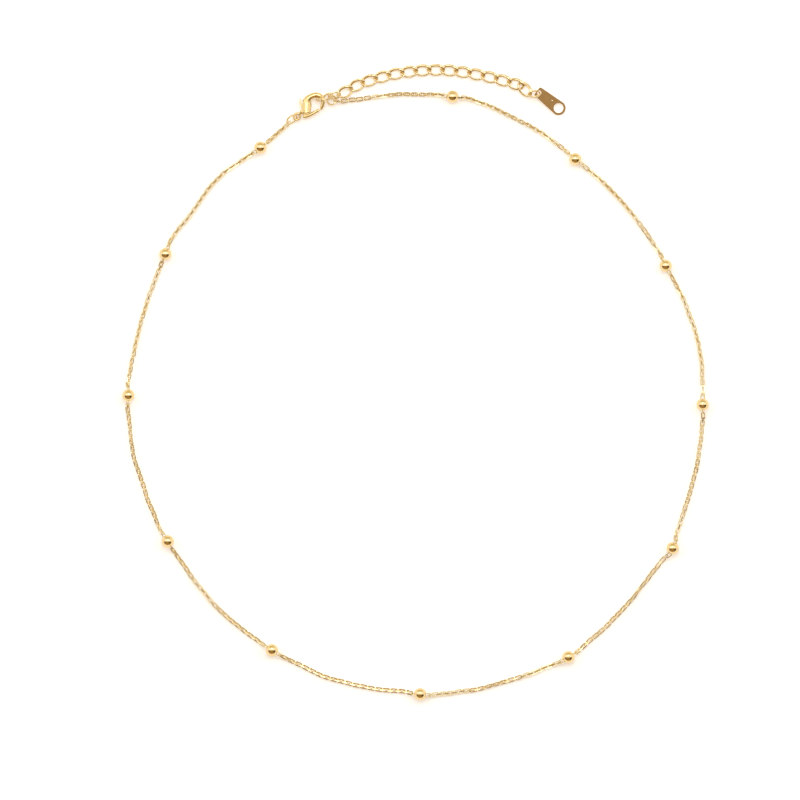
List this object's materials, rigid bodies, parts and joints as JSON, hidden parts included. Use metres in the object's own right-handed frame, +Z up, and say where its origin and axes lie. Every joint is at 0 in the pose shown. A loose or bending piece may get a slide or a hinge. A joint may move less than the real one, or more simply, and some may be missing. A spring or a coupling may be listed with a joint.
{
  "type": "necklace with spaced round beads, lobster clasp and extender",
  "caption": "Fine cable chain necklace with spaced round metal beads, a lobster clasp and a curb-link extender that ends in a flat teardrop tag, laid out in a loop.",
  "frame": {"origin": "centre of the laid-out necklace's box, on the surface it lies on", "axes": "+X across the loop to the right, +Y along its length towards the clasp, +Z up from the surface"},
  "size_m": [0.1266, 0.1373, 0.0027],
  "materials": {
    "chain_gold": "polished gold plate",
    "bead_gold": "mirror polished gold plate",
    "clasp_gold": "polished gold plate",
    "link_gold": "polished gold plate",
    "tag_gold": "flat satin gold plate"
  },
  "bodies": {
    "necklace": {"cable_chain": "chain_gold", "bead_01": "bead_gold", "bead_02": "bead_gold", "bead_03": "bead_gold", "bead_04": "bead_gold", "bead_05": "bead_gold", "bead_06": "bead_gold", "bead_07": "bead_gold", "bead_08": "bead_gold", "bead_09": "bead_gold", "bead_10": "bead_gold", "bead_11": "bead_gold", "bead_12": "bead_gold", "chain_end_link_1": "chain_gold", "chain_end_link_2": "chain_gold", "jump_ring_clasp": "link_gold", "jump_ring_chain": "link_gold", "jump_ring_extender": "link_gold", "jump_ring_tag": "link_gold", "clasp_body": "clasp_gold", "clasp_pin": "clasp_gold", "extender_link_01": "link_gold", "extender_link_02": "link_gold", "extender_link_03": "link_gold", "extender_link_04": "link_gold", "extender_link_05": "link_gold", "extender_link_06": "link_gold", "extender_link_07": "link_gold", "extender_link_08": "link_gold", "extender_link_09": "link_gold", "extender_link_10": "link_gold", "extender_link_11": "link_gold", "extender_link_12": "link_gold", "extender_link_13": "link_gold", "extender_link_14": "link_gold", "extender_link_15": "link_gold", "extender_link_16": "link_gold", "end_tag": "tag_gold"},
    "clasp_lever": {"clasp_lever": "clasp_gold"}
  },
  "joints": [
    {"name": "clasp_lever_swing", "type": "hinge", "parent": "necklace", "child": "clasp_lever", "pos_m": [-0.02391, 0.05853, 0.00103], "axis": [0, 0, 1], "range_deg": [0, 25], "stiffness_Nm_per_rad": 0.002, "springref_deg": -11.46}
  ]
}
